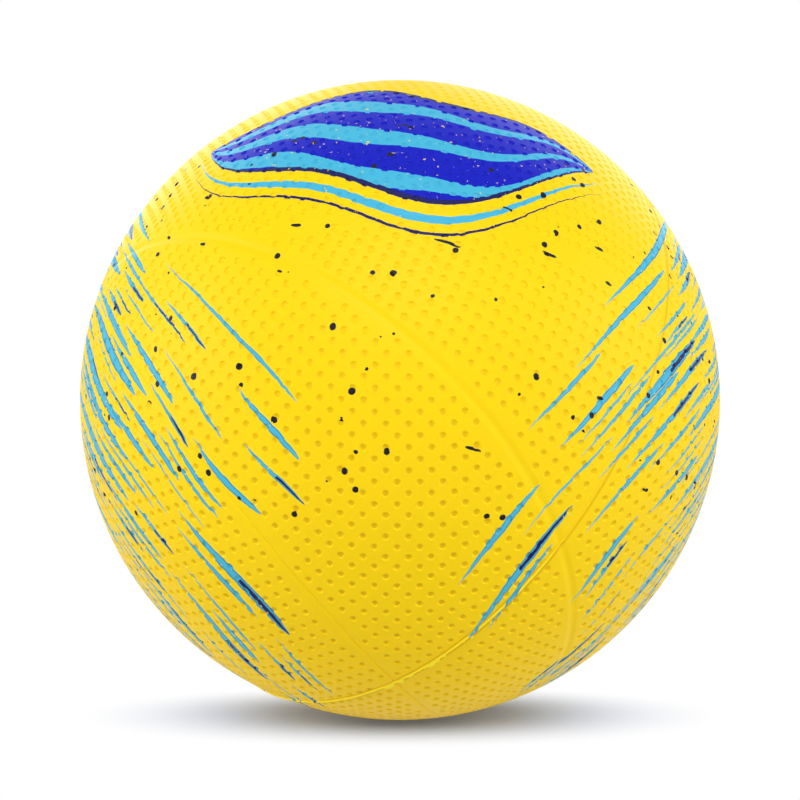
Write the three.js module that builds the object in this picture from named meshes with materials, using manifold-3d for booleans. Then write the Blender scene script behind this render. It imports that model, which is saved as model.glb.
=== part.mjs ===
// A moulded rubber volleyball in its real layers: a cover of swirling panels, a rubber
// carcass, a nylon thread winding, and an air bladder with its valve.
// Millimetres, +Z up, with the ball's centre at the origin and its front towards -Y.
import * as THREE from "three";
import { mergeVertices } from "three/addons/utils/BufferGeometryUtils.js";
import Module from "manifold-3d";

const wasm = await Module();
wasm.setup();

// The ball and its layers, from the outside in.
const ballDiameter = 210;
const coverThickness = 1.4;
const carcassThickness = 0.6;
const windingThickness = 0.5;
const bladderThickness = 0.6;
const layerClearance = 0.3;

// The seams lie on equal circles of the ball, turned round one swirl axis: a run of three
// side by side, and the same run again on the far side.
const seamRuns = 2;
const seamsPerRun = 3;
const seamSpacing = THREE.MathUtils.degToRad(45);
const seamCircleAngle = THREE.MathUtils.degToRad(59.5); // from a circle's middle to the seam
const seamCircleLean = THREE.MathUtils.degToRad(50); // from the base pole to a circle's middle
const swirlTiltBack = THREE.MathUtils.degToRad(5.9);
const swirlTiltSide = THREE.MathUtils.degToRad(0.7);
const seamClearance = 0.3;
const grooveWidth = 2.2;
const grooveDepth = 0.6;

// The plane on which the two halves of the mould meet.
const partingTurn = THREE.MathUtils.degToRad(126);
const partingRise = THREE.MathUtils.degToRad(-30.2);

// The valve, on the back of the crown.
const valveTurn = THREE.MathUtils.degToRad(215);
const valveRise = THREE.MathUtils.degToRad(38);
const collarDiameter = 18;
const collarRise = 0.4;
const collarBevel = 0.4;
const stemDiameter = 12;
const flangeDiameter = 34;
const flangeThickness = 1.5;
const flangeEdgeThickness = 0.6;
const bossDiameter = 10.5;
const bossLength = 9;
const patchDiameter = 46;
const coreHeadDiameter = 8.4;
const coreHeadThickness = 1.6;
const coreShankDiameter = 4.8;
const coreBulbDiameter = 6.4;
const coreBulbLength = 3.2;
const coreTailLength = 2.4;
const coreClearance = 0.3;
const needleHoleDiameter = 1.7;
const needleHoleDepth = 7;
const needleSlitWidth = 2.4;
const needleSlitGap = 0.3;

// How finely round surfaces are faceted.
const coverDetail = 7;
const liningDetail = 4;
const seamSteps = 48;
const valveSteps = 32;
const arcSteps = 3;

const mergeDistance = 0.001; // corners nearer than this are one corner
const cutMargin = 20; // how far a cut runs past the cover, and starts short of the bladder

const ballRadius = ballDiameter / 2;
const coverInner = ballRadius - coverThickness;
const carcassOuter = coverInner - layerClearance;
const carcassInner = carcassOuter - carcassThickness;
const windingOuter = carcassInner - layerClearance;
const windingInner = windingOuter - windingThickness;
const bladderOuter = windingInner - layerClearance;
const bladderInner = bladderOuter - bladderThickness;
const cutReach = ballRadius + cutMargin;
const up = new THREE.Vector3(0, 1, 0); // the axis that a turned profile goes round

// A direction from its turn, which is 0 at the front and grows towards +X, and its rise.
function direction(turn, rise) {
  const level = Math.cos(rise);
  return new THREE.Vector3(level * Math.sin(turn), -level * Math.cos(turn), Math.sin(rise));
}

function solidFrom(geometry) {
  const bare = new THREE.BufferGeometry();
  bare.setAttribute("position", geometry.getAttribute("position"));
  bare.setIndex(geometry.getIndex());
  const merged = mergeVertices(bare, mergeDistance);
  return new wasm.Manifold(
    new wasm.Mesh({
      numProp: 3,
      vertProperties: merged.getAttribute("position").array,
      triVerts: new Uint32Array(merged.getIndex().array),
    }),
  );
}

function geometryFrom(solid) {
  const mesh = solid.getMesh();
  const shared = new THREE.BufferGeometry();
  shared.setAttribute("position", new THREE.BufferAttribute(mesh.vertProperties, 3));
  shared.setIndex(new THREE.BufferAttribute(mesh.triVerts, 1));
  const faceted = shared.toNonIndexed();
  faceted.computeVertexNormals();
  return faceted;
}

function sphere(radius, detail) {
  return solidFrom(new THREE.IcosahedronGeometry(radius, detail));
}

// A profile point at an angle from the turning axis and a distance from the ball's centre.
function atAngle(angle, radius) {
  return new THREE.Vector2(radius * Math.sin(angle), radius * Math.cos(angle));
}

// A profile point at a distance from the turning axis, on a sphere about the ball's centre.
function onSphere(offset, radius) {
  return new THREE.Vector2(offset, Math.sqrt(radius ** 2 - offset ** 2));
}

function arcOnSphere(from, to, radius) {
  const points = [];
  for (let step = 0; step <= arcSteps; step += 1) {
    points.push(onSphere(from + ((to - from) * step) / arcSteps, radius));
  }
  return points;
}

function turned(profile, axis, steps) {
  const geometry = new THREE.LatheGeometry(profile, steps);
  return geometry.applyQuaternion(new THREE.Quaternion().setFromUnitVectors(up, axis));
}

// The part of space within a seam circle, as seen from the ball's centre. Its side is one
// edge of the seam: square to the cover up to the groove's floor, then sloped out to the lip.
// Side is -1 for the panel inside the circle, and 1 for what is cut from those outside it.
function withinSeam(axis, circleAngle, side) {
  const edge = circleAngle + (side * seamClearance) / 2 / ballRadius;
  const lip = circleAngle + (side * grooveWidth) / 2 / ballRadius;
  const profile = [
    new THREE.Vector2(0, 0),
    atAngle(edge, ballRadius - grooveDepth),
    atAngle(lip, ballRadius),
  ];
  for (let step = 0; step <= arcSteps; step += 1) {
    profile.push(atAngle(lip * (1 - step / arcSteps), cutReach));
  }
  return solidFrom(turned(profile, axis, seamSteps));
}

// The cover: each swirl panel is a crescent, inside one seam circle and outside the one
// before. The crown is what no circle holds, in two halves, and the base disc is what all
// of them hold.
const swirlTilt = new THREE.Quaternion().setFromEuler(
  new THREE.Euler(-swirlTiltBack, swirlTiltSide, 0),
);
const seamAxes = [];
for (let run = 0; run < seamRuns; run += 1) {
  for (let index = 0; index < seamsPerRun; index += 1) {
    const turn = (run * 2 * Math.PI) / seamRuns + (index - seamsPerRun + 1) * seamSpacing;
    const rise = seamCircleLean - Math.PI / 2;
    seamAxes.push(direction(turn, rise).applyQuaternion(swirlTilt));
  }
}
const insideSeams = seamAxes.map((axis) => withinSeam(axis, seamCircleAngle, -1));
const outsideSeams = seamAxes.map((axis) => withinSeam(axis, seamCircleAngle, 1));
const coverShell = sphere(ballRadius, coverDetail).subtract(sphere(coverInner, liningDetail));

const valveAxis = direction(valveTurn, valveRise);
function valveHole(diameter) {
  const profile = [
    new THREE.Vector2(0, bladderInner - cutMargin),
    new THREE.Vector2(diameter / 2, bladderInner - cutMargin),
    new THREE.Vector2(diameter / 2, cutReach),
    new THREE.Vector2(0, cutReach),
  ];
  return solidFrom(turned(profile, valveAxis, valveSteps));
}

const coverPieces = insideSeams.map((inside, index) => {
  const before = outsideSeams[(index + seamAxes.length - 1) % seamAxes.length];
  return [`cover_swirl_${index + 1}`, coverShell.intersect(inside).subtract(before)];
});
const crown = outsideSeams.reduce((left, seam) => left.subtract(seam), coverShell);
const frontWay = direction(0, 0).applyQuaternion(swirlTilt);
const crownFront = crown.intersect(withinSeam(frontWay, Math.PI / 2, -1));
const crownBack = crown
  .intersect(withinSeam(frontWay.clone().negate(), Math.PI / 2, -1))
  .subtract(valveHole(collarDiameter + 2 * layerClearance));
const baseDisc = insideSeams.reduce((left, seam) => left.intersect(seam), coverShell);
coverPieces.push(["cover_crown_front", crownFront]);
coverPieces.push(["cover_crown_back", crownBack]);
coverPieces.push(["cover_base_disc", baseDisc]);

// The linings are whole shells, each open only where the valve goes through.
function lining(outer, inner, holeDiameter) {
  const shell = sphere(outer, liningDetail).subtract(sphere(inner, liningDetail));
  return shell.subtract(valveHole(holeDiameter));
}

const stemHole = stemDiameter + 2 * layerClearance;
const patchHole = patchDiameter + 2 * layerClearance;
const carcass = lining(carcassOuter, carcassInner, stemHole);
const winding = lining(windingOuter, windingInner, patchHole);
const bladder = lining(bladderOuter, bladderInner, stemHole);
// The patch lies on the bladder round the stem, level with the thread.
const patch = lining(windingOuter, windingInner, stemHole).intersect(valveHole(patchDiameter));

// The half of space on one side of the mould's parting plane, less half the clearance.
const partingAxis = direction(partingTurn, partingRise);
function mouldHalf(side) {
  const span = 2 * cutReach;
  const box = new THREE.BoxGeometry(span, span, span);
  box.translate(0, span / 2 + seamClearance / 2, 0);
  const towards = partingAxis.clone().multiplyScalar(side);
  return solidFrom(box.applyQuaternion(new THREE.Quaternion().setFromUnitVectors(up, towards)));
}

// The valve is turned about its own axis, with heights measured from the ball's centre.
const collarTop = ballRadius + collarRise;
const stemTop = Math.sqrt(ballRadius ** 2 - (stemDiameter / 2) ** 2);
const headSeat = stemTop - coreHeadThickness;
const flangeTop = bladderInner - layerClearance;
const flangeBottom = flangeTop - flangeThickness;
const bossBottom = flangeBottom - bossLength;
const stemRadius = stemDiameter / 2;
const boreRadius = coreShankDiameter / 2 + coreClearance;
const bulbRadius = coreBulbDiameter / 2;

function valvePoint(offset, height) {
  return new THREE.Vector2(offset, height);
}

// A soft rubber mushroom: a tapered flange that follows the inside of the bladder, a boss
// inwards and a stem out to the cover, bored for the core, with a mouth for its head.
function valveHousing() {
  const flangeRadius = flangeDiameter / 2;
  const headRadius = coreHeadDiameter / 2 + coreClearance;
  const flangeProfile = [
    valvePoint(0, bossBottom),
    valvePoint(bossDiameter / 2, bossBottom),
    onSphere(bossDiameter / 2, flangeBottom),
    onSphere(flangeRadius, flangeTop - flangeEdgeThickness),
    onSphere(flangeRadius, bladderInner),
    valvePoint(0, bladderInner),
  ];
  const stemProfile = [
    valvePoint(0, flangeBottom),
    valvePoint(stemRadius, flangeBottom),
    valvePoint(stemRadius, stemTop),
    valvePoint(0, stemTop),
  ];
  const boreProfile = [
    valvePoint(0, bossBottom - coreClearance),
    valvePoint(boreRadius, bossBottom - coreClearance),
    valvePoint(boreRadius, headSeat),
    valvePoint(headRadius, headSeat),
    valvePoint(headRadius, collarTop),
    valvePoint(0, collarTop),
  ];
  const [flange, stem, bore] = [flangeProfile, stemProfile, boreProfile].map((profile) =>
    solidFrom(turned(profile, valveAxis, valveSteps)),
  );
  return geometryFrom(flange.intersect(sphere(flangeTop, liningDetail)).add(stem).subtract(bore));
}

// The core: a flat head, a shank through the housing and a bulb that holds it in, with a
// blind hole for the pump needle and a slit below it that closes again behind the needle.
function valveCore() {
  const headBottom = headSeat + coreClearance;
  const bulbStart = bossBottom - coreClearance;
  const bulbMiddle = bulbStart - coreBulbLength / 2;
  const tail = bulbStart - coreBulbLength;
  const holeRadius = needleHoleDiameter / 2;
  const shankRadius = coreShankDiameter / 2;
  const profile = [
    valvePoint(0, tail - coreTailLength),
    valvePoint(shankRadius, tail - coreTailLength),
    valvePoint(shankRadius, tail),
    valvePoint(bulbRadius, bulbMiddle),
    valvePoint(bulbRadius, bulbStart),
    valvePoint(shankRadius, bulbStart),
    valvePoint(shankRadius, headBottom),
    valvePoint(coreHeadDiameter / 2, headBottom),
    valvePoint(coreHeadDiameter / 2, stemTop),
    valvePoint(holeRadius, stemTop),
    valvePoint(holeRadius, stemTop - needleHoleDepth),
    valvePoint(0, stemTop - needleHoleDepth - holeRadius),
  ];
  const slitTop = stemTop - needleHoleDepth;
  const slitBottom = tail - coreTailLength - coreClearance;
  const slit = new THREE.BoxGeometry(needleSlitWidth, slitTop - slitBottom, needleSlitGap);
  slit.translate(0, (slitTop + slitBottom) / 2, 0);
  slit.applyQuaternion(new THREE.Quaternion().setFromUnitVectors(up, valveAxis));
  return geometryFrom(solidFrom(turned(profile, valveAxis, valveSteps)).subtract(solidFrom(slit)));
}

// A ring of firm rubber that frames the stem's mouth and stands a little proud of the cover.
function valveCollar() {
  const innerRadius = stemRadius + layerClearance;
  const outerRadius = collarDiameter / 2;
  const under = arcOnSphere(innerRadius, outerRadius, coverInner);
  const profile = [
    ...under,
    onSphere(outerRadius, ballRadius),
    onSphere(outerRadius - collarBevel, collarTop),
    onSphere(innerRadius + collarBevel, collarTop),
    onSphere(innerRadius, ballRadius),
    under[0].clone(),
  ];
  return turned(profile, valveAxis, valveSteps);
}

const coverRubber = new THREE.MeshStandardMaterial({ color: 0xf8dc1c, roughness: 0.55 });
const carcassRubber = new THREE.MeshStandardMaterial({ color: 0x3a3733, roughness: 0.8 });
const nylonThread = new THREE.MeshStandardMaterial({ color: 0xe4dfcf, roughness: 0.7 });
const bladderRubber = new THREE.MeshStandardMaterial({ color: 0x1c1c1e, roughness: 0.5 });
const valveRubber = new THREE.MeshStandardMaterial({ color: 0x26262a, roughness: 0.6 });

const volleyball = new THREE.Group();
function place(group, name, geometry, material) {
  const mesh = new THREE.Mesh(geometry, material);
  mesh.name = name;
  group.add(mesh);
}

const cover = new THREE.Group();
for (const [name, solid] of coverPieces) {
  place(cover, name, geometryFrom(solid), coverRubber);
}
const linings = new THREE.Group();
place(linings, "carcass_upper", geometryFrom(carcass.intersect(mouldHalf(-1))), carcassRubber);
place(linings, "carcass_lower", geometryFrom(carcass.intersect(mouldHalf(1))), carcassRubber);
place(linings, "thread_winding", geometryFrom(winding), nylonThread);
place(linings, "bladder", geometryFrom(bladder), bladderRubber);
const valve = new THREE.Group();
place(valve, "valve_patch", geometryFrom(patch), bladderRubber);
place(valve, "valve_housing", valveHousing(), valveRubber);
place(valve, "valve_core", valveCore(), valveRubber);
place(valve, "valve_collar", valveCollar(), valveRubber);
volleyball.add(cover, linings, valve);

export default volleyball;
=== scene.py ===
import math

import bmesh
import bpy
import numpy as np
from mathutils import Matrix, Vector


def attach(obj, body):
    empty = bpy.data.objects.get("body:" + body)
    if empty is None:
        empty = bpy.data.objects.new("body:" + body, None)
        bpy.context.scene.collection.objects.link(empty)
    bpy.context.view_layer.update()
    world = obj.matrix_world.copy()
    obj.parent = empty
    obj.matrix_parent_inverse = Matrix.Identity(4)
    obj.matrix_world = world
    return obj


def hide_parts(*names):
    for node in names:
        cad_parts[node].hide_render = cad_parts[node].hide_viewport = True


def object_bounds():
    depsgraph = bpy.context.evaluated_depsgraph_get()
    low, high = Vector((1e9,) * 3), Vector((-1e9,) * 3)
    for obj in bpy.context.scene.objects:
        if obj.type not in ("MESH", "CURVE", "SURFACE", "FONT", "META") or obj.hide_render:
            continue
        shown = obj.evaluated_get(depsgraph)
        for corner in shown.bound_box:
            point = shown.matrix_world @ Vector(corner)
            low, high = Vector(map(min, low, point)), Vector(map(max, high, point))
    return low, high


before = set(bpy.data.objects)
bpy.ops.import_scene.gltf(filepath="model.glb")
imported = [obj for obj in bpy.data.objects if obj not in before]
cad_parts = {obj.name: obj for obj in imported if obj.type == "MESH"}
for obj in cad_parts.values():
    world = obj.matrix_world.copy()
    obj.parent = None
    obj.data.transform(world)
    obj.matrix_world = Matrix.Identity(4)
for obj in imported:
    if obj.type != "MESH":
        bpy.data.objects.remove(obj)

cad_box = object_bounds()

# The bladder: black butyl rubber blown to shape in a mould, with a round patch of the same
# rubber vulcanised on where the valve goes through. Talc dulls it in the finest grain.
bladder_black = (0.012, 0.012, 0.013, 1)
bladder_talc = (0.045, 0.044, 0.042, 1)
bladder_roughness = 0.5
bladder_grain_height = 0.00004
rubber_cloud_scale = 60
rubber_cloud_detail = 6
rubber_grain_scale = 2600
rubber_grain_detail = 4
rubber_grain_strength = 0.6
rubber_roughness_spread = 0.08


def add(tree, kind, sockets, **settings):
    node = tree.nodes.new(kind)
    for name, value in settings.items():
        setattr(node, name, value)
    for name, value in sockets.items():
        if isinstance(value, bpy.types.NodeSocket):
            tree.links.new(value, node.inputs[name])
        else:
            node.inputs[name].default_value = value
    return node


def new_material(name):
    material = bpy.data.materials.new(name)
    material.use_nodes = True
    tree = material.node_tree
    tree.nodes.clear()
    surface = add(tree, "ShaderNodeBsdfPrincipled", {})
    add(tree, "ShaderNodeOutputMaterial", {"Surface": surface.outputs["BSDF"]})
    place = add(tree, "ShaderNodeTexCoord", {}).outputs["Object"]
    return material, tree, surface, place


def colour_between(tree, factor, first, second):
    mix = add(tree, "ShaderNodeMix", {"Factor": factor, 6: first, 7: second}, data_type="RGBA")
    return mix.outputs[2]


def noise(tree, place, scale, detail):
    sockets = {"Vector": place, "Scale": scale, "Detail": detail}
    return add(tree, "ShaderNodeTexNoise", sockets).outputs["Fac"]


def ramp(tree, value, start=0, end=1, low=0, high=1, **settings):
    sockets = {"Value": value, "From Min": start, "From Max": end, "To Min": low, "To Max": high}
    return add(tree, "ShaderNodeMapRange", sockets, **settings).outputs["Result"]


def raise_surface(tree, surface, height, distance, strength=1):
    sockets = {"Height": height, "Distance": distance, "Strength": strength}
    bump = add(tree, "ShaderNodeBump", sockets)
    tree.links.new(bump.outputs["Normal"], surface.inputs["Normal"])


def grained_rubber(name, colour, worn, roughness, grain_height):
    material, tree, surface, place = new_material(name)
    cloud = noise(tree, place, rubber_cloud_scale, rubber_cloud_detail)
    grain = noise(tree, place, rubber_grain_scale, rubber_grain_detail)
    tint = colour_between(tree, cloud, colour, worn)
    smoothest = roughness - rubber_roughness_spread
    rough = ramp(tree, grain, low=smoothest, high=roughness + rubber_roughness_spread)
    tree.links.new(tint, surface.inputs["Base Color"])
    tree.links.new(rough, surface.inputs["Roughness"])
    raise_surface(tree, surface, grain, grain_height, rubber_grain_strength)
    return material


def finish_node(name, material):
    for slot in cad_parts[name].material_slots:
        slot.material = material


bladder_rubber = grained_rubber(
    "bladder_rubber", bladder_black, bladder_talc, bladder_roughness, bladder_grain_height
)
finish_node("bladder", bladder_rubber)
finish_node("valve_patch", bladder_rubber)

# The valve: a soft mushroom of firm black rubber, with a removable core pressed into it.
# The core has a domed head with a needle hole, and a slit below that closes behind a needle.
ball_radius = 0.105
valve_turn = math.radians(215)
valve_rise = math.radians(38)
stem_radius = 0.006
core_length = 0.0196
core_head_radius = 0.0042
core_head_thickness = 0.0016
core_head_drop = 0.00035
core_head_round = 0.0005
core_head_under_round = 0.0003
core_dome_radius = 0.0028
core_dome_drop = 0.0001
core_shank_radius = 0.0024
core_tip_round = 0.0006
core_bulb_radius = 0.0032
core_bulb_round = 0.0009
core_bulb_length = 0.0032
core_bulb_top = 0.0056
needle_hole_radius = 0.00085
needle_hole_depth = 0.007
needle_hole_round = 0.0004
needle_slit_width = 0.0024
needle_slit_gap = 0.0003
needle_slit_past_tip = 0.001
valve_black = (0.016, 0.016, 0.018, 1)
valve_worn = (0.035, 0.034, 0.034, 1)
valve_roughness = 0.45
valve_grain_height = 0.00003


def direction(turn, rise):
    level = math.cos(rise)
    return Vector((level * math.sin(turn), -level * math.cos(turn), math.sin(rise)))


def turn_up_to(axis):
    return Vector((0, 0, 1)).rotation_difference(axis).to_matrix().to_4x4()


def arc(centre, radius, start, end, steps):
    angles = [math.radians(start + (end - start) * step / steps) for step in range(steps + 1)]
    return [(centre[0] + radius * math.cos(a), centre[1] + radius * math.sin(a)) for a in angles]


def into_scene(name, data):
    thing = bpy.data.objects.new(name, data)
    bpy.context.scene.collection.objects.link(thing)
    return thing


def turned_piece(name, profile, axis, steps, closed, material):
    mesh = bpy.data.meshes.new(name)
    shape = bmesh.new()
    spots = [shape.verts.new((offset, 0, height)) for offset, height in profile]
    edges = [shape.edges.new(pair) for pair in zip(spots, spots[1:])]
    if closed:
        edges.append(shape.edges.new((spots[-1], spots[0])))
    bmesh.ops.spin(
        shape,
        geom=spots + edges,
        axis=(0, 0, 1),
        cent=(0, 0, 0),
        angle=2 * math.pi,
        steps=steps,
        use_merge=True,
    )
    bmesh.ops.remove_doubles(shape, verts=shape.verts, dist=1e-6)
    bmesh.ops.recalc_face_normals(shape, faces=shape.faces)
    for face in shape.faces:
        face.smooth = True
    bmesh.ops.transform(shape, matrix=turn_up_to(axis), verts=shape.verts)
    shape.to_mesh(mesh)
    shape.free()
    mesh.materials.append(material)
    return into_scene(name, mesh)


valve_axis = direction(valve_turn, valve_rise)
valve_rubber = grained_rubber(
    "valve_rubber", valve_black, valve_worn, valve_roughness, valve_grain_height
)
finish_node("valve_housing", valve_rubber)

head_top = math.sqrt(ball_radius**2 - stem_radius**2)
head_edge = head_top - core_head_drop
head_under = head_top - core_head_thickness
core_tip = head_top - core_length
bulb_top = core_tip + core_bulb_top
bulb_middle = bulb_top - core_bulb_length / 2
hole_floor = head_top - needle_hole_depth
hole_lip = needle_hole_radius + needle_hole_round
tip_corner = (core_shank_radius - core_tip_round, core_tip + core_tip_round)
under_corner = (core_head_radius - core_head_under_round, head_under + core_head_under_round)
head_corner = (core_head_radius - core_head_round, head_edge - core_head_under_round)
core_profile = (
    [(0, core_tip)]
    + arc(tip_corner, core_tip_round, -90, 0, 4)
    + [(core_shank_radius, bulb_top - core_bulb_length)]
    + arc((core_bulb_radius - core_bulb_round, bulb_middle), core_bulb_round, -50, 50, 6)
    + [(core_shank_radius, bulb_top), (core_shank_radius, head_under)]
    + arc(under_corner, core_head_under_round, -90, 0, 4)
    + arc(head_corner, core_head_round, 0, 80, 6)
    + [(core_dome_radius, head_top - core_dome_drop), (hole_lip, head_top)]
    + arc((hole_lip, head_top - needle_hole_round), needle_hole_round, 90, 180, 4)
    + [(needle_hole_radius, hole_floor), (0, hole_floor - needle_hole_radius)]
)
core = turned_piece("valve_core_fine", core_profile, valve_axis, 64, False, valve_rubber)

slit_top = hole_floor - needle_hole_radius / 2
slit_bottom = core_tip - needle_slit_past_tip
slit_size = (needle_slit_width, needle_slit_gap, slit_top - slit_bottom, 1)
slit_middle = Matrix.Translation((0, 0, (slit_top + slit_bottom) / 2))
blade_shape = bmesh.new()
blade_place = turn_up_to(valve_axis) @ slit_middle @ Matrix.Diagonal(slit_size)
bmesh.ops.create_cube(blade_shape, size=1, matrix=blade_place)
blade_mesh = bpy.data.meshes.new("slit_blade")
blade_shape.to_mesh(blade_mesh)
blade_shape.free()
blade_mesh.materials.append(valve_rubber)
blade = into_scene("slit_blade", blade_mesh)
slit = core.modifiers.new("needle_slit", "BOOLEAN")
slit.operation = "DIFFERENCE"
slit.object = blade
bpy.context.view_layer.update()
slit_core = core.evaluated_get(bpy.context.evaluated_depsgraph_get())
core.data = bpy.data.meshes.new_from_object(slit_core)
core.modifiers.clear()
bpy.data.objects.remove(blade)
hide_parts("valve_core")
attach(core, "root")

# The thread winding: nylon thread wound round the bladder in every direction and set in
# latex, so that the ball keeps round. It shows as fine crossing ridges, with painted shade
# between them.
thread_width = 0.0006
thread_height = 0.0002
thread_runs = ((20, 10), (80, 40), (145, -35))
thread_shade_from = -0.2
thread_cream = (0.72, 0.69, 0.6, 1)
thread_trough_shade = (0.5, 0.45, 0.33, 1)
thread_roughness = 0.7


def worked_out(tree, operation, *terms):
    return add(tree, "ShaderNodeMath", dict(enumerate(terms)), operation=operation).outputs[0]


def reach_along(tree, place, way):
    product = add(tree, "ShaderNodeVectorMath", {0: place, 1: way}, operation="DOT_PRODUCT")
    return product.outputs["Value"]


winding_material, tree, surface, place = new_material("wound_thread")
ridges = []
for turn, rise in thread_runs:
    run = reach_along(tree, place, direction(math.radians(turn), math.radians(rise)))
    scaled = worked_out(tree, "MULTIPLY", run, 2 * math.pi / thread_width)
    ridges.append(worked_out(tree, "SINE", scaled))
crossing = worked_out(tree, "MAXIMUM", ridges[0], ridges[1])
lay = worked_out(tree, "MAXIMUM", crossing, ridges[2])
# Painted shade: the colour darkens between the thread ridges.
tint = colour_between(tree, ramp(tree, lay, thread_shade_from), thread_trough_shade, thread_cream)
tree.links.new(tint, surface.inputs["Base Color"])
surface.inputs["Roughness"].default_value = thread_roughness
raise_surface(tree, surface, lay, thread_height)
finish_node("thread_winding", winding_material)

# The carcass: two half shells of dark rubber that the mould closes over the thread, so that
# the cover panels have one firm bed. It is matt, and never seen on a whole ball.
carcass_dark = (0.05, 0.046, 0.04, 1)
carcass_dusty = (0.09, 0.084, 0.075, 1)
carcass_roughness = 0.8
carcass_grain_height = 0.00008
carcass_rubber = grained_rubber(
    "carcass_rubber", carcass_dark, carcass_dusty, carcass_roughness, carcass_grain_height
)
finish_node("carcass_upper", carcass_rubber)
finish_node("carcass_lower", carcass_rubber)

# The cover's finish: bright yellow foamed rubber, satin, with a very fine grain from the
# mould and a slight drift of colour. Low on the ball the dimples' floors get painted shade, a
# darker yellow.
cover_yellow = (0.98, 0.7, 0.002, 1)
cover_deep = (0.95, 0.645, 0.001, 1)
cover_drift_scale = 18
# Painted shade for the dimples' floors low on the ball:
dimple_painted_shade = (0.79, 0.51, 0.001, 1)
shade_depth_from = ball_radius - 0.0003
shade_depth_to = ball_radius - 0.00038
shade_rise_high = 0.025
shade_rise_low = -0.015
cover_grain_scale = 1500
cover_grain_height = 0.00006
cover_grain_strength = 0.5
cover_smoothest = 0.42
cover_roughest = 0.58
cover_shine = 0.15

cover_material, cover_tree, cover_surface, cover_place = new_material("cover_rubber")


def calc(operation, *terms):
    return worked_out(cover_tree, operation, *terms)


drift = noise(cover_tree, cover_place, cover_drift_scale, 3)
cover_colour = colour_between(cover_tree, drift, cover_deep, cover_yellow)
middle_gap = add(cover_tree, "ShaderNodeVectorMath", {0: cover_place}, operation="LENGTH")
out_by = middle_gap.outputs["Value"]
up_by = add(cover_tree, "ShaderNodeSeparateXYZ", {"Vector": cover_place}).outputs["Z"]
# Painted shade: dimple floors deeper than 0.3 mm turn a darker yellow, from none a little above
# the ball's middle to full a little below it.
shade_by_depth = ramp(cover_tree, out_by, shade_depth_from, shade_depth_to)
dimple_shade_share = ramp(cover_tree, up_by, shade_rise_high, shade_rise_low, high=shade_by_depth)
cover_colour = colour_between(cover_tree, dimple_shade_share, cover_colour, dimple_painted_shade)
grain = noise(cover_tree, cover_place, cover_grain_scale, 5)
cover_rough = ramp(cover_tree, grain, low=cover_smoothest, high=cover_roughest)
raise_surface(cover_tree, cover_surface, grain, cover_grain_height, cover_grain_strength)
cover_surface.inputs["Specular IOR Level"].default_value = cover_shine

# The cover panels: nine pieces cut so that their seams are equal circles of the ball, each
# pressed with square rows of round dimples that follow its own run, and bonded edge to edge
# over the carcass. A soft groove is left along every seam.
cover_thickness = 0.0014
seam_runs = 2
seams_per_run = 3
seam_spacing = math.radians(45)
seam_circle_angle = math.radians(59.5)
seam_circle_lean = math.radians(50)
swirl_tilt_back = math.radians(5.9)
swirl_tilt_side = math.radians(0.7)
groove_half_widths = (0.0006, 0.0018, 0.0009)
groove_depths = (0.00027, 0.0003, 0.00004)
groove_pit_gaps = (0.0018, 0.0025, 0.0021)
groove_loops = 4
parting_turn = math.radians(126)
parting_rise = math.radians(-30.2)
valley_half_width = 0.001
valley_depth = 0.00024
valley_loops = 4
row_middle_rise = math.radians(-36)
row_slants = (math.radians(8.5), math.radians(45.5), math.radians(71))
crown_row_slant = math.radians(12)
pit_pitch = 0.00388
pit_radii = (0.001, 0.0008, 0.0006)
pit_depths = (0, 0.00028, 0.00036)
pit_floor = 0.00038
pit_corners = 12
pit_valley_gap = 0.0012
pit_first_corner = math.radians(165)
pit_nudge = pit_pitch / 100
cell_cuts = 3
cell_border = (
    (0, 2), (0, 3), (1, 3), (2, 3), (3, 3), (3, 2), (3, 1), (3, 0), (2, 0), (1, 0), (0, 0), (0, 1)
)
cell_spare = 0.0004
cut_tolerance = 0.00002
scatter_count = 20000
collar_radius = 0.009
collar_bond = 0.0001

swirl_tilt = Matrix.Rotation(-swirl_tilt_back, 3, "X") @ Matrix.Rotation(swirl_tilt_side, 3, "Y")
crown_pole = swirl_tilt @ Vector((0, 0, 1))
front_way = swirl_tilt @ direction(0, 0)
right_way = front_way.cross(crown_pole)
parting_axis = direction(parting_turn, parting_rise)
seam_axes = []
for run in range(seam_runs):
    for index in range(seams_per_run):
        turn = run * 2 * math.pi / seam_runs + (index - seams_per_run + 1) * seam_spacing
        seam_axes.append(swirl_tilt @ direction(turn, seam_circle_lean - math.pi / 2))


class Edge:
    """One edge of a panel: a circle of the ball, and the side of it that the panel lies on."""

    def __init__(self, axis, angle, side, half_width=0.0, depth=0.0, pit_gap=pit_valley_gap):
        self.axis = axis
        self.angle = angle
        self.side = side
        self.half_width = half_width
        self.depth = depth
        self.pit_gap = pit_gap

    def inside_by(self, spots):
        lengths = np.linalg.norm(spots, axis=-1)
        angles = np.arccos(np.clip(spots @ np.array(self.axis) / lengths, -1, 1))
        return self.side * (self.angle - angles) * ball_radius

    def cut(self, shape, radius, inset, clear):
        angle = self.angle - self.side * inset / ball_radius
        bmesh.ops.bisect_plane(
            shape,
            geom=shape.verts[:] + shape.edges[:] + shape.faces[:],
            dist=cut_tolerance,
            plane_co=self.axis * (radius * math.cos(angle)),
            plane_no=self.axis * self.side,
            clear_inner=clear,
        )


def groove_of(style):
    return groove_half_widths[style], groove_depths[style], groove_pit_gaps[style]


def seam_edge(index, side):
    return Edge(seam_axes[index], seam_circle_angle, side, *groove_of(index % seams_per_run))


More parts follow.
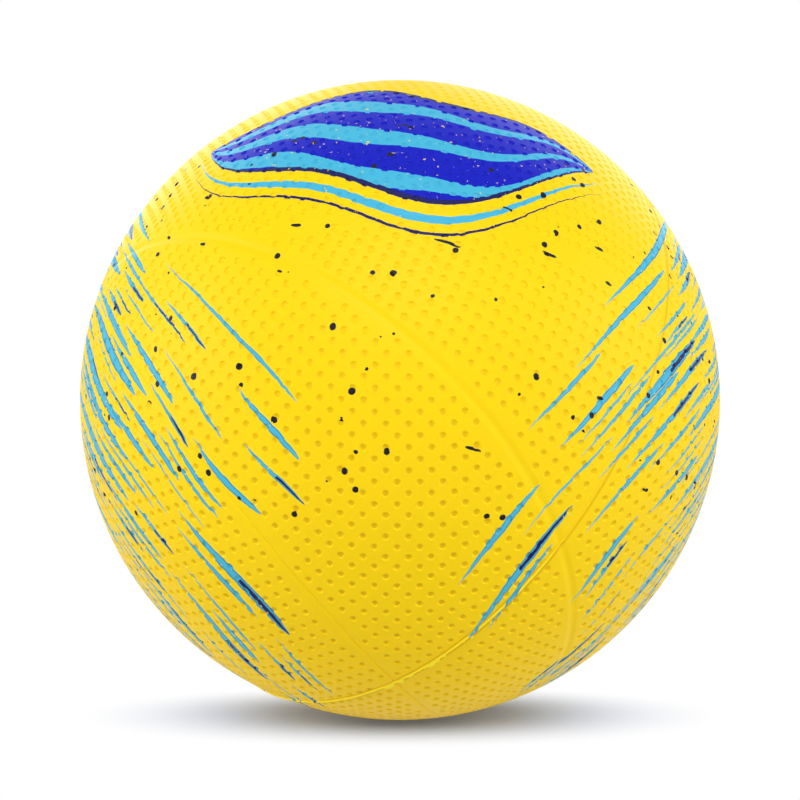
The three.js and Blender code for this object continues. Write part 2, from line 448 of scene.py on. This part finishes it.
class Rows:
    """Square rows laid over a middle point, at a slant, and their places on the ball."""

    def __init__(self, middle, level, slant):
        ahead = middle.cross(level)
        self.middle = np.array(middle)
        self.right = np.array(level * math.cos(slant) + ahead * math.sin(slant))
        self.ahead = np.array(ahead * math.cos(slant) - level * math.sin(slant))

    def to_ball(self, sideways, forwards):
        angle = np.hypot(sideways, forwards)[..., None] / ball_radius
        shrink = np.sinc(angle / math.pi) / ball_radius
        level = sideways[..., None] * self.right + forwards[..., None] * self.ahead
        return np.cos(angle) * self.middle + shrink * level

    def from_ball(self, spots):
        angle = np.arccos(np.clip(spots @ self.middle, -1, 1))
        stretch = ball_radius / np.sinc(angle / math.pi)
        return spots @ self.right * stretch, spots @ self.ahead * stretch


def inside_all(edges, spots, margin):
    inside = np.full(spots.shape[:-1], True)
    for edge in edges:
        inside &= edge.inside_by(spots) > -margin
    return inside


def block_range(rows, edges):
    """The first and last block of the rows, each way, that the panel needs."""
    steps = np.arange(scatter_count) + 0.5
    rise = 1 - 2 * steps / scatter_count
    turn = steps * math.pi * (3 - math.sqrt(5))
    level = np.sqrt(1 - rise**2)
    spread = np.stack([level * np.cos(turn), level * np.sin(turn), rise], axis=-1)
    spread = spread[inside_all(edges, spread, pit_pitch)]
    return [
        (math.floor(side.min() / pit_pitch) - 1, math.ceil(side.max() / pit_pitch) + 1)
        for side in rows.from_ball(spread)
    ]


def row_grid(rows, ranges, cuts):
    """The crossings of the rows on the ball, with each block cut so often, and their numbers."""
    lines = [np.arange(cuts * low, cuts * high + 1) * pit_pitch / cuts for low, high in ranges]
    grid = rows.to_ball(*np.meshgrid(*lines, indexing="ij"))
    return grid, np.arange(grid.shape[0] * grid.shape[1]).reshape(grid.shape[:2])


def unit(spots):
    return spots / np.linalg.norm(spots, axis=-1, keepdims=True)


def sheet_mesh(spots, quads, fans, rims=()):
    """A mesh of the quads and fans, with its shading broken where both ends are on a rim."""
    every_corner = np.concatenate([quads.reshape(-1), fans.reshape(-1)])
    used, numbers = np.unique(every_corner, return_inverse=True)
    quads = numbers[: quads.size].reshape(-1, 4)
    fans = numbers[quads.size :].reshape(-1, 3)
    mesh = bpy.data.meshes.new("sheet")
    mesh.from_pydata(spots[used].tolist(), [], quads.tolist() + fans.tolist())
    ends = np.zeros(2 * len(mesh.edges), int)
    mesh.edges.foreach_get("vertices", ends)
    on_rim = np.isin(used[ends], rims).reshape(-1, 2).all(axis=1)
    mesh.edges.foreach_set("use_edge_sharp", on_rim)
    return mesh


def dimpled_sheet(rows, edges):
    """A sheet of square blocks, each plain or with one round dimple, a bit past the edges."""
    ranges = block_range(rows, edges)
    (first, last), (near, far) = ranges
    grid, numbers = row_grid(rows, ranges, cell_cuts)
    wanted = inside_all(edges, grid, cell_spare)
    places = np.meshgrid(np.arange(last - first), np.arange(far - near), indexing="ij")
    blocks = np.stack(places, axis=-1).reshape(-1, 2)

    def corner_number(of_blocks, i, j):
        return numbers[of_blocks[:, 0] * cell_cuts + i, of_blocks[:, 1] * cell_cuts + j]

    kept = np.zeros(len(blocks), bool)
    for i in range(cell_cuts + 1):
        for j in range(cell_cuts + 1):
            kept |= wanted.reshape(-1)[corner_number(blocks, i, j)]
    blocks = blocks[kept]
    sideways = (blocks[:, 0] + first + 0.5) * pit_pitch
    forwards = (blocks[:, 1] + near + 0.5) * pit_pitch
    middles = rows.to_ball(sideways, forwards)
    pitted = abs(middles @ np.array(parting_axis)) * ball_radius > pit_valley_gap
    for edge in edges:
        pitted &= edge.inside_by(middles) > edge.pit_gap
    holes = blocks[pitted]
    sideways, forwards, middles = sideways[pitted], forwards[pitted], middles[pitted]
    along = unit(rows.to_ball(sideways + pit_nudge, forwards) - middles)
    facing = rows.to_ball(sideways, forwards + pit_nudge) - middles
    facing = unit(facing - (facing * along).sum(axis=-1, keepdims=True) * along)
    ring = np.stack([corner_number(holes, i, j) for i, j in cell_border], axis=-1)
    spots = [grid.reshape(-1, 3) * ball_radius]
    faces = []
    made = len(spots[0])
    rims = np.arange(made, made + pit_corners * len(holes))
    for radius, depth in zip(pit_radii, pit_depths):
        for corner in range(pit_corners):
            turn = pit_first_corner - corner * 2 * math.pi / pit_corners
            way = math.cos(turn) * along + math.sin(turn) * facing
            spots.append(unit(middles * ball_radius + radius * way) * (ball_radius - depth))
        inner = made + np.arange(len(holes))[:, None] + np.arange(pit_corners) * len(holes)
        made += inner.size
        beyond = np.roll(ring, -1, axis=1)
        within = np.roll(inner, -1, axis=1)
        faces.append(np.stack([ring, beyond, within, inner], axis=-1).reshape(-1, 4))
        ring = inner
    spots.append(middles * (ball_radius - pit_floor))
    floors = np.repeat(made + np.arange(len(holes))[:, None], pit_corners, axis=1)
    fans = np.stack([ring, np.roll(ring, -1, axis=1), floors], axis=-1)
    plain = blocks[~pitted]
    for i in range(cell_cuts):
        for j in range(cell_cuts):
            square = [(i, j), (i, j + 1), (i + 1, j + 1), (i + 1, j)]
            faces.append(np.stack([corner_number(plain, *corner) for corner in square], axis=-1))
    return sheet_mesh(np.concatenate(spots), np.concatenate(faces), fans, rims)


def plain_sheet(rows, edges, radius):
    """A coarse sheet for the panel's underside, a bit past the edges."""
    grid, numbers = row_grid(rows, block_range(rows, edges), 1)
    square = [numbers[:-1, :-1], numbers[:-1, 1:], numbers[1:, 1:], numbers[1:, :-1]]
    quads = np.stack(square, axis=-1).reshape(-1, 4)
    spots = grid.reshape(-1, 3) * radius
    quads = quads[inside_all(edges, spots, pit_pitch)[quads].any(axis=1)]
    return sheet_mesh(spots, quads, np.zeros((0, 3), int))


def groove_sink(edges, spots):
    """How far the grooves of a panel's edges and the parting line sink its top, at each spot."""
    lengths = np.linalg.norm(spots, axis=-1)
    gaps = abs(np.arcsin(np.clip(spots @ np.array(parting_axis) / lengths, -1, 1))) * ball_radius
    dips = [(gaps, valley_half_width, valley_depth)]
    dips += [(edge.inside_by(spots), edge.half_width, edge.depth) for edge in edges if edge.depth]
    sink = np.zeros(len(spots))
    for gap, half_width, depth in dips:
        nearness = 1 - np.clip(gap / half_width, 0, 1)
        sink = np.maximum(sink, depth * (0.5 - 0.5 * np.cos(math.pi * nearness)))
    return sink


def rim_loops(edges):
    """The edges sorted into closed loops, the longest loop first."""
    left = set(edges)
    loops = []
    for first in edges:
        if first not in left:
            continue
        left.remove(first)
        loop = [first]
        reach = [first]
        while reach:
            for corner in reach.pop().verts:
                for edge in corner.link_edges:
                    if edge in left:
                        left.remove(edge)
                        loop.append(edge)
                        reach.append(edge)
        loops.append(loop)
    return sorted(loops, key=lambda loop: -sum(edge.calc_length() for edge in loop))


def cover_panel(name, rows, edges):
    shape = bmesh.new()
    shape.from_mesh(dimpled_sheet(rows, edges))
    for edge in edges:
        edge.cut(shape, ball_radius, 0, True)
    for edge in edges:
        for loop in range(groove_loops if edge.depth else 0):
            edge.cut(shape, ball_radius, edge.half_width * (loop + 1) / groove_loops, False)
    for loop in range(-valley_loops, valley_loops + 1):
        parting_line.cut(shape, ball_radius, valley_half_width * loop / valley_loops, False)
    spots = np.array([corner.co for corner in shape.verts])
    lengths = np.linalg.norm(spots, axis=-1)
    spots *= (1 - groove_sink(edges, spots) / lengths)[:, None]
    for corner, spot in zip(shape.verts, spots):
        corner.co = spot
    for face in shape.faces:
        face.smooth = True
    rim = [edge for edge in shape.edges if edge.is_boundary]
    for edge in rim:
        edge.smooth = False
    grown = bmesh.ops.extrude_edge_only(shape, edges=rim)["geom"]
    inner_radius = ball_radius - cover_thickness
    for corner in grown:
        if isinstance(corner, bmesh.types.BMVert):
            corner.co = corner.co.normalized() * inner_radius
    foot = rim_loops([edge for edge in shape.edges if edge.is_boundary])
    underside = bmesh.new()
    underside.from_mesh(plain_sheet(rows, edges, inner_radius))
    for edge in edges:
        edge.cut(underside, inner_radius, pit_pitch / 3, True)
    underside_mesh = bpy.data.meshes.new("underside")
    underside.to_mesh(underside_mesh)
    underside.free()
    shape.from_mesh(underside_mesh)
    used = {edge for loop in foot for edge in loop}
    inner = rim_loops([edge for edge in shape.edges if edge.is_boundary and edge not in used])
    for outer_loop, inner_loop in zip(foot, inner):
        bmesh.ops.bridge_loops(shape, edges=outer_loop + inner_loop)
    bmesh.ops.recalc_face_normals(shape, faces=shape.faces)
    mesh = bpy.data.meshes.new(name)
    shape.to_mesh(mesh)
    shape.free()
    mesh.materials.append(cover_material)
    piece = into_scene(name + "_dimpled", mesh)
    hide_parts(name)
    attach(piece, "root")
    panel_edges_kept.append(edges)


parting_line = Edge(parting_axis, math.pi / 2, -1)
panel_edges_kept = []
for index in range(len(seam_axes)):
    before = (index - 1) % len(seam_axes)
    turn = (index // seams_per_run) * math.pi + (index % seams_per_run - 1) * seam_spacing
    middle = swirl_tilt @ direction(turn, row_middle_rise)
    level = crown_pole.cross(middle).normalized()
    rows = Rows(middle, level, row_slants[index % seams_per_run])
    panel_edges = [seam_edge(index, 1), seam_edge(before, -1)]
    cover_panel(f"cover_swirl_{index + 1}", rows, panel_edges)

crown_edges = [seam_edge(index, -1) for index in range(len(seam_axes))]
crown_rows = Rows(crown_pole, right_way, crown_row_slant)
front_split = Edge(front_way, math.pi / 2, 1, *groove_of(0))
back_split = Edge(-front_way, math.pi / 2, 1, *groove_of(0))
valve_rim = Edge(valve_axis, math.asin(collar_radius / ball_radius) + collar_bond, -1)
cover_panel("cover_crown_front", crown_rows, crown_edges + [front_split])
cover_panel("cover_crown_back", crown_rows, crown_edges + [back_split, valve_rim])
base_rows = Rows(-crown_pole, right_way, crown_row_slant)
base_edges = [seam_edge(index, 1) for index in range(len(seam_axes))]
cover_panel("cover_base_disc", base_rows, base_edges)

# The mould flash: a thin bead of cover rubber, squeezed out all round where the halves of the
# mould met and trimmed by hand, so that small lumps and torn stretches stay on it. Its crest is
# painted paler as a highlight, and the creases beside it get painted shade, a deeper yellow.
flash_steps = 1800
flash_half_width = 0.00028
flash_aside = -0.00025
flash_height = 0.00068
flash_bury = 0.0002
flash_lump = 0.00012
flash_tear = 0.0012
flash_trimmed = 0.35
flash_full = ((2, 82), (188, 262))
flash_full_fade = 4
flash_wander = 0.00006
torn_stretches = (
    (20.5, 23), (10.5, 12.5), (26, 39), (118, 131), (171, 174), (236, 252), (300, 305)
)
tear_contrast = 4
tear_gap = 1.8
tear_least = 0.05
# The crest colour below is a painted highlight, and the crease colour is painted shade.
crest_painted_highlight = (1, 0.82, 0.025, 1)
highlight_from = 0.00002
highlight_to = 0.0002
crease_painted_shade = (0.82, 0.52, 0.001, 1)
lower_crease_shade = (0.0006, 0.00042)
upper_crease_shade = (-0.0008, 0.00035)
upper_shade_middle = math.radians(42)
upper_shade_reach = math.radians(40)
upper_shade_fade = math.radians(5)

chances = np.random.default_rng(8)


def ring_of_chances(width):
    """Smooth random shares all round the bead, from about 0 to 1."""
    values = np.tile(chances.random(flash_steps), 3)
    window = np.hanning(width + 2)[1:-1]
    smooth = np.convolve(values, window / window.sum(), "same")[flash_steps : 2 * flash_steps]
    return (smooth - smooth.min()) / (smooth.max() - smooth.min())


flash_turns = np.arange(flash_steps) * 360 / flash_steps
torn = np.zeros(flash_steps)
for low, high in torn_stretches:
    torn = np.maximum(torn, np.clip(np.minimum(flash_turns - low, high - flash_turns), 0, 1))
fullness = np.full(flash_steps, flash_trimmed)
for low, high in flash_full:
    inner_by = np.minimum(flash_turns - low, high - flash_turns)
    full_share = np.clip(inner_by / flash_full_fade, 0, 1)
    fullness = np.maximum(fullness, flash_trimmed + (1 - flash_trimmed) * full_share)
teeth = np.clip(ring_of_chances(5) * tear_contrast - tear_gap, tear_least, 1)
teeth *= flash_tear * torn
heights = flash_height * fullness + flash_lump * (ring_of_chances(13) - 0.5) * fullness
wander = flash_wander * (ring_of_chances(41) - 0.5)
flash_start = (Vector((0, -1, 0)) + parting_axis * parting_axis.y).normalized()
flash_ahead = np.array(parting_axis.cross(flash_start))


def round_flash(angle):
    return np.cos(angle) * np.array(flash_start) + np.sin(angle) * flash_ahead


ring_line = round_flash(np.radians(flash_turns)[:, None])
bead_sink = np.zeros(flash_steps)
for edges in panel_edges_kept:
    inside = inside_all(edges, ring_line, 0)
    bead_sink[inside] = groove_sink(edges, ring_line[inside] * ball_radius)
bead_profile = (
    (-1, 0, -flash_bury, 0),
    (-1, 0, 0, 0.1),
    (-0.4, 0.3, 0, 0.6),
    (0.25, 0.8, 0, 1),
    (0.6, 1, 0, 0.9),
    (0.85, 1, 0, 0.25),
    (0.85, 0, -flash_bury, 0),
)
bead_lines = []
for width_share, tear_share, lift, height_share in bead_profile:
    spread = width_share * flash_half_width * fullness**0.5 + tear_share * teeth
    lean = (flash_aside + spread + wander)[:, None] / ball_radius
    radius = (ball_radius - bead_sink + lift + height_share * heights)[:, None]
    bead_lines.append((np.cos(lean) * ring_line + np.sin(lean) * np.array(parting_axis)) * radius)
bead_numbers = np.arange(len(bead_profile) * flash_steps).reshape(len(bead_profile), -1)
beside = np.roll(bead_numbers, -1, axis=0)
square = [bead_numbers, np.roll(bead_numbers, -1, axis=1), np.roll(beside, -1, axis=1), beside]
bead_quads = np.stack(square, axis=-1).reshape(-1, 4)
bead_mesh = bpy.data.meshes.new("mould_flash")
bead_mesh.from_pydata(np.concatenate(bead_lines).tolist(), [], bead_quads.tolist())
bead_mesh.shade_smooth()
bead_mesh.materials.append(cover_material)
bead = into_scene("mould_flash", bead_mesh)
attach(bead, "root")

off_parting = reach_along(cover_tree, cover_place, parting_axis)
from_middle = reach_along(cover_tree, cover_place, round_flash(upper_shade_middle))
upper_shade_share = ramp(
    cover_tree,
    calc("ABSOLUTE", from_middle),
    ball_radius * math.cos(upper_shade_reach),
    ball_radius * math.cos(upper_shade_reach - upper_shade_fade),
)
# Painted shade: the creases on both sides of the bead turn a deeper yellow, the upper one only on
# part of the ring.
for (shade_aside, shade_width), share in ((lower_crease_shade, 1), (upper_crease_shade, upper_shade_share)):
    gap = calc("ABSOLUTE", calc("SUBTRACT", off_parting, shade_aside))
    painted_crease_mask = ramp(cover_tree, gap, shade_width, shade_width / 2, high=share)
    cover_colour = colour_between(cover_tree, painted_crease_mask, cover_colour, crease_painted_shade)
# Painted highlight: whatever of the cover stands above the ball, the bead's crest, is coloured
# paler.
crest_highlight = ramp(cover_tree, out_by, ball_radius + highlight_from, ball_radius + highlight_to)
cover_colour = colour_between(cover_tree, crest_highlight, cover_colour, crest_painted_highlight)

# The printed pattern: blue inks transferred on to the moulded cover. Waves lie round the crown,
# bent flow lines low on both sides, and small marks between them. The ink is thin and satin.
ink_royal = (0.003, 0.009, 0.5, 1)
ink_cyan = (0.062, 0.47, 0.7, 1)
ink_mid = (0.033, 0.29, 0.48, 1)
ink_navy = (0.008, 0.008, 0.1, 1)
ink_dark = (0.006, 0.004, 0.02, 1)
ink_shake = 0.0009
ink_shake_scale = 300
ink_smoothing = -0.06
ink_missed = 0.71
ink_missed_scale = 900
flow_thick = (0.052, 0.72, 1.36)
flow_thin = (0.03, 0.36, 1.3)
flow_nearest = 0.3
flow_spread = 1.5
flow_thinning = 1.25
flow_wander = 0.16
flow_wander_scale = 14
flow_length = (0.45, 0.5)
flow_width = (0.3, 0.1)
flow_taper = 0.6
flow_swell = 2.3
flow_heart = 0.62
flow_root = 0.45
flow_rooted = 0.3
wave_rise = math.radians(76)
wave_turn = math.radians(150)
wave_start = math.radians(-6)
wave_ring = 1.04
wave_count = 3
wave_half_height = 0.23
wave_taper = -10.5
wave_edge_from = 0.93
wave_swings = 9
wave_swing = 0.035
ripple_pitch = 9.5
ripple_swings = 13
ripple_swing = 0.9
ripple_changes = 5
ripple_share = 0.35
trail_half_width = 0.012
trail_gap = 0.045
thin_trail_gap = 0.085
thin_trail_share = 0.35
mark_belt = (0.12, 0.5)
mark_lean = 0.3
dots = (1, 140, 0.12)
dashes = (7, 170, 0.09)

shake = add(
    cover_tree,
    "ShaderNodeTexNoise",
    {"Vector": cover_place, "Scale": ink_shake_scale, "Detail": 4},
)
shaken = add(
    cover_tree,
    "ShaderNodeVectorMath",
    {0: shake.outputs["Color"], 1: (ink_shake,) * 3, 2: cover_place},
    operation="MULTIPLY_ADD",
).outputs[0]
out_way = add(cover_tree, "ShaderNodeVectorMath", {0: shaken}, operation="NORMALIZE").outputs[0]


def round_pole(pole, start):
    """How far the surface is from the pole, and its turn round the pole from the start."""
    side = pole.cross(start).normalized()
    away = calc("ARCCOSINE", reach_along(cover_tree, out_way, pole))
    ahead = reach_along(cover_tree, out_way, side.cross(pole))
    return away, calc("ARCTAN2", reach_along(cover_tree, out_way, side), ahead)


def cell_chances(*numbers):
    """Three random shares that stay the same all over one cell of the pattern."""
    cell = add(cover_tree, "ShaderNodeCombineXYZ", dict(zip("XYZ", numbers)))
    cell_noise = add(cover_tree, "ShaderNodeTexWhiteNoise", {"Vector": cell.outputs[0]})
    split = add(cover_tree, "ShaderNodeSeparateColor", {"Color": cell_noise.outputs["Color"]})
    return [split.outputs[name] for name in ("Red", "Green", "Blue")]


def all_of(*masks):
    joined = masks[0]
    for mask in masks[1:]:
        joined = calc("MULTIPLY", joined, mask)
    return joined


def close_to(value, middle, reach):
    return calc("LESS_THAN", calc("ABSOLUTE", calc("SUBTRACT", value, middle)), reach)


def swung(turn, times):
    return calc("SINE", calc("MULTIPLY", turn, times))


def flow_lines(pole, start, number, row_height, reach, furthest):
    """Tapered lines in bent rows round a pole: the whole line, its heart and its dark root."""
    away, turn = round_pole(pole, start)
    bend = noise(cover_tree, cover_place, flow_wander_scale, 1)
    rows = calc("DIVIDE", calc("MULTIPLY_ADD", bend, flow_wander, away), row_height)
    row = calc("FLOOR", rows)
    row_away = calc("MULTIPLY", row, row_height)
    shift = cell_chances(row, number, 0.5)[0]
    run = calc("MULTIPLY", turn, calc("SINE", row_away))
    cells = calc("ADD", calc("DIVIDE", run, reach), shift)
    cell = calc("FLOOR", cells)
    long_share, thick_share, keep_share = cell_chances(row, cell, number)
    length = calc("MULTIPLY_ADD", long_share, *flow_length)
    along = calc("DIVIDE", calc("SUBTRACT", cells, cell), length)
    rest = calc("MAXIMUM", calc("SUBTRACT", 1, along), 0)
    swell = calc("MULTIPLY", calc("POWER", along, flow_taper), calc("MULTIPLY", rest, flow_swell))
    thick = calc("MULTIPLY", swell, calc("MULTIPLY_ADD", thick_share, *flow_width))
    across = calc("ABSOLUTE", calc("SUBTRACT", calc("SUBTRACT", rows, row), 0.5))
    middle = calc("MULTIPLY", calc("ADD", calc("SUBTRACT", cell, shift), 0.5), reach)
    near = calc("SUBTRACT", flow_thinning, calc("DIVIDE", calc("ABSOLUTE", middle), flow_spread))
    half = (furthest - flow_nearest) / 2
    in_rows = calc("COMPARE", row_away, flow_nearest + half, half)
    kept = all_of(calc("LESS_THAN", keep_share, near), in_rows)
    line = all_of(calc("LESS_THAN", across, thick), kept)
    heart = all_of(calc("LESS_THAN", across, calc("MULTIPLY", thick, flow_heart)), kept)
    root = all_of(
        calc("LESS_THAN", across, calc("MULTIPLY", thick, flow_root)),
        calc("LESS_THAN", along, flow_root),
        calc("LESS_THAN", long_share, flow_rooted),
        kept,
    )
    return line, heart, root


print_colour = cover_colour
inked_parts = []
for number, pole in enumerate((seam_axes[0], seam_axes[seams_per_run])):
    for row_height, reach, furthest in (flow_thick, flow_thin):
        run_number = number + reach
        parts = flow_lines(pole, crown_pole, run_number, row_height, reach, furthest)
        for mask, ink in zip(parts, (ink_mid, ink_cyan, ink_navy)):
            print_colour = colour_between(cover_tree, mask, print_colour, ink)
        inked_parts.append(parts[0])

away, turn = round_pole(direction(wave_turn, wave_rise), direction(wave_start, 0))
turned = calc("DIVIDE", turn, 2 * math.pi / wave_count)
local = calc("SUBTRACT", turned, calc("ROUND", turned))
taper = calc("MULTIPLY_ADD", calc("MULTIPLY", local, local), wave_taper, 1)
wave_fullness = calc("MAXIMUM", taper, 0)
middle_line = calc("ADD", calc("MULTIPLY", swung(turn, wave_swings), wave_swing), wave_ring)
from_middle_line = calc("SUBTRACT", away, middle_line)
half_height = calc("MULTIPLY", wave_fullness, wave_half_height)
across = calc("DIVIDE", from_middle_line, calc("MAXIMUM", half_height, 0.001))
edge_share = calc("ABSOLUTE", across)
inside_wave = all_of(calc("LESS_THAN", edge_share, 1), calc("GREATER_THAN", wave_fullness, 0.02))
ripple_bend = calc("MULTIPLY", swung(turn, ripple_swings), ripple_swing)
ripple = calc("SINE", calc("ADD", calc("MULTIPLY", across, ripple_pitch), ripple_bend))
ripple_from = calc("MULTIPLY_ADD", swung(turn, ripple_changes), ripple_share, ripple_share)
rippled = all_of(inside_wave, calc("GREATER_THAN", ripple, ripple_from))
wave_edge = all_of(inside_wave, calc("GREATER_THAN", edge_share, wave_edge_from))
below = calc("SUBTRACT", from_middle_line, half_height)
trail_width = calc("MULTIPLY", wave_fullness, trail_half_width)
thin_trail_width = calc("MULTIPLY", trail_width, thin_trail_share)
for mask, ink in (
    (inside_wave, ink_royal),
    (rippled, ink_cyan),
    (wave_edge, ink_navy),
    (close_to(below, trail_gap, trail_width), ink_cyan),
    (close_to(below, thin_trail_gap, thin_trail_width), ink_navy),
):
    print_colour = colour_between(cover_tree, mask, print_colour, ink)
    inked_parts.append(mask)

in_belt = close_to(reach_along(cover_tree, out_way, crown_pole), *mark_belt)
for long_ways, scale, size in (dots, dashes):
    pulled = add(
        cover_tree,
        "ShaderNodeMapping",
        {"Vector": shaken, "Rotation": (0, mark_lean, 0), "Scale": (long_ways, 1, 1)},
        vector_type="TEXTURE",
    )
    cells = add(cover_tree, "ShaderNodeTexVoronoi", {"Vector": pulled.outputs[0], "Scale": scale})
    mark = all_of(calc("LESS_THAN", cells.outputs["Distance"], size), in_belt)
    print_colour = colour_between(cover_tree, mark, print_colour, ink_dark)
    inked_parts.append(mark)
inked = inked_parts[0]
for part in inked_parts[1:]:
    inked = calc("MAXIMUM", inked, part)
fleck = noise(cover_tree, cover_place, ink_missed_scale, 2)
missed = calc("GREATER_THAN", fleck, ink_missed)
print_colour = colour_between(cover_tree, missed, print_colour, cover_colour)
print_rough = calc("MULTIPLY_ADD", inked, ink_smoothing, cover_rough)
cover_tree.links.new(print_colour, cover_surface.inputs["Base Color"])
cover_tree.links.new(print_rough, cover_surface.inputs["Roughness"])

# The valve collar: a ring of firm rubber bonded into the cover round the stem's mouth, a
# little proud of the cover and rounded off at both edges.
collar_gap = 0.0003
collar_round = 0.0005
collar_lean = 0.0001
collar_inner_drop = 0.0002
collar_outer_drop = 0.0004
collar_inner = stem_radius + collar_gap
collar_foot = ball_radius - cover_thickness
shoulder = math.sqrt(ball_radius**2 - collar_radius**2)
collar_profile = (
    [(collar_inner, collar_foot - collar_inner_drop)]
    + [(collar_radius, collar_foot - collar_outer_drop)]
    + arc((collar_radius - collar_round, shoulder - collar_lean), collar_round, 0, 90, 6)
    + arc((collar_inner + collar_round, shoulder + collar_lean), collar_round, 90, 180, 6)
)
collar = turned_piece("valve_collar_fine", collar_profile, valve_axis, 96, True, valve_rubber)
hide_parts("valve_collar")
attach(collar, "root")

# The floor: a plain white matt sheet under the ball, wide enough to be the whole background.
# Its shadow is partly painted: only inside a flattened ellipse drawn a little in front of the
# ball's foot does the floor show its real shading and the ball's shadow; outside it the floor
# glows plain white. The shadow's grey is tinted blue so the yellow bounced off the ball turns
# grey.
floor_half = 4
floor_roughness = 0.9
white = (1, 1, 1, 1)
shadow_flatness = 3.6
shadow_forward = 0.012
shadow_from = 0.03
shadow_to = 0.11
shadow_least = 0.05
shadow_grey = (0.52, 0.62, 1, 1)


def seen_at_all(tree):
    """1 where a surface is looked at, straight on, in a gloss or through glass."""
    rays = add(tree, "ShaderNodeLightPath", {}).outputs
    seen = worked_out(tree, "MAXIMUM", rays["Is Camera Ray"], rays["Is Glossy Ray"])
    return worked_out(tree, "MAXIMUM", seen, rays["Is Transmission Ray"])


def shader_between(tree, factor, first, second):
    mix = add(tree, "ShaderNodeMixShader", {0: factor, 1: first, 2: second})
    return mix.outputs["Shader"]


floor_mesh = bpy.data.meshes.new("floor")
floor_sides = ((-1, -1), (1, -1), (1, 1), (-1, 1))
corners = [(x * floor_half, y * floor_half, cad_box[0][2]) for x, y in floor_sides]
floor_mesh.from_pydata(corners, [], [(0, 1, 2, 3)])
floor = into_scene("floor", floor_mesh)
floor_material, tree, surface, place = new_material("white_floor")
surface.inputs["Roughness"].default_value = floor_roughness
surface.inputs["Specular IOR Level"].default_value = 0
white_glow = add(tree, "ShaderNodeEmission", {"Color": white, "Strength": 1})
# The painted outline of the shadow: a flattened ellipse centred a little in front of the ball.
flattened = add(
    tree,
    "ShaderNodeVectorMath",
    {0: place, 1: (1, shadow_flatness, 0), 2: (0, shadow_forward * shadow_flatness, 0)},
    operation="MULTIPLY_ADD",
)
far = add(tree, "ShaderNodeVectorMath", {0: flattened.outputs[0]}, operation="LENGTH")
fade = ramp(
    tree,
    far.outputs["Value"],
    shadow_from,
    shadow_to,
    shadow_least,
    interpolation_type="SMOOTHSTEP",
)
# Blue-tinted so that the yellow light bounced off the ball shows as neutral grey in the shadow.
shaded = add(tree, "ShaderNodeBsdfDiffuse", {"Color": shadow_grey})
seen_floor = shader_between(tree, fade, shaded.outputs["BSDF"], white_glow.outputs["Emission"])
floor_looks = shader_between(tree, seen_at_all(tree), surface.outputs["BSDF"], seen_floor)
output = next(node for node in tree.nodes if node.type == "OUTPUT_MATERIAL")
tree.links.new(floor_looks, output.inputs["Surface"])
floor_mesh.materials.append(floor_material)

# The studio: a white room with soft round lamps, one high in front, one low on each side and
# two behind.
room_glow = 0.1
lamp_size = 1.2
lamp_distance = 1.7

world = bpy.data.worlds.new("white_room")
bpy.context.scene.world = world
world.use_nodes = True
tree = world.node_tree
tree.nodes.clear()
shown = add(tree, "ShaderNodeBackground", {"Color": white, "Strength": 1})
lit = add(tree, "ShaderNodeBackground", {"Color": white, "Strength": room_glow})
room = shader_between(
    tree, seen_at_all(tree), lit.outputs["Background"], shown.outputs["Background"]
)
add(tree, "ShaderNodeOutputWorld", {"Surface": room})


def soft_lamp(name, turn, rise, power):
    lamp = bpy.data.lights.new(name, "AREA")
    lamp.shape = "DISK"
    lamp.size = lamp_size
    lamp.energy = power
    holder = into_scene(name, lamp)
    way = direction(math.radians(turn), math.radians(rise))
    holder.location = way * lamp_distance
    holder.rotation_euler = (-way).to_track_quat("-Z", "Y").to_euler()


soft_lamp("front_lamp", 0, 40, 17)
soft_lamp("left_lamp", -75, 14, 14)
soft_lamp("right_lamp", 70, 14, 12)
soft_lamp("back_left_lamp", -150, 35, 9)
soft_lamp("back_right_lamp", 150, 35, 9)

# The camera: level with the ball's centre and three ball radii away, with a lens that takes in
# the whole ball and a little of the floor round it.
camera_distance = 3 * ball_radius
focal_pixels = 905
picture_pixels = 800
camera_data = bpy.data.cameras.new("camera")
camera_data.sensor_width = 36
camera_data.lens = camera_data.sensor_width * focal_pixels / picture_pixels
camera_data.clip_start = 0.01
camera = into_scene("camera", camera_data)
camera.location = (0, -camera_distance, 0)
camera.rotation_euler = (math.pi / 2, 0, 0)
bpy.context.scene.camera = camera
bpy.context.scene.view_settings.view_transform = "Standard"
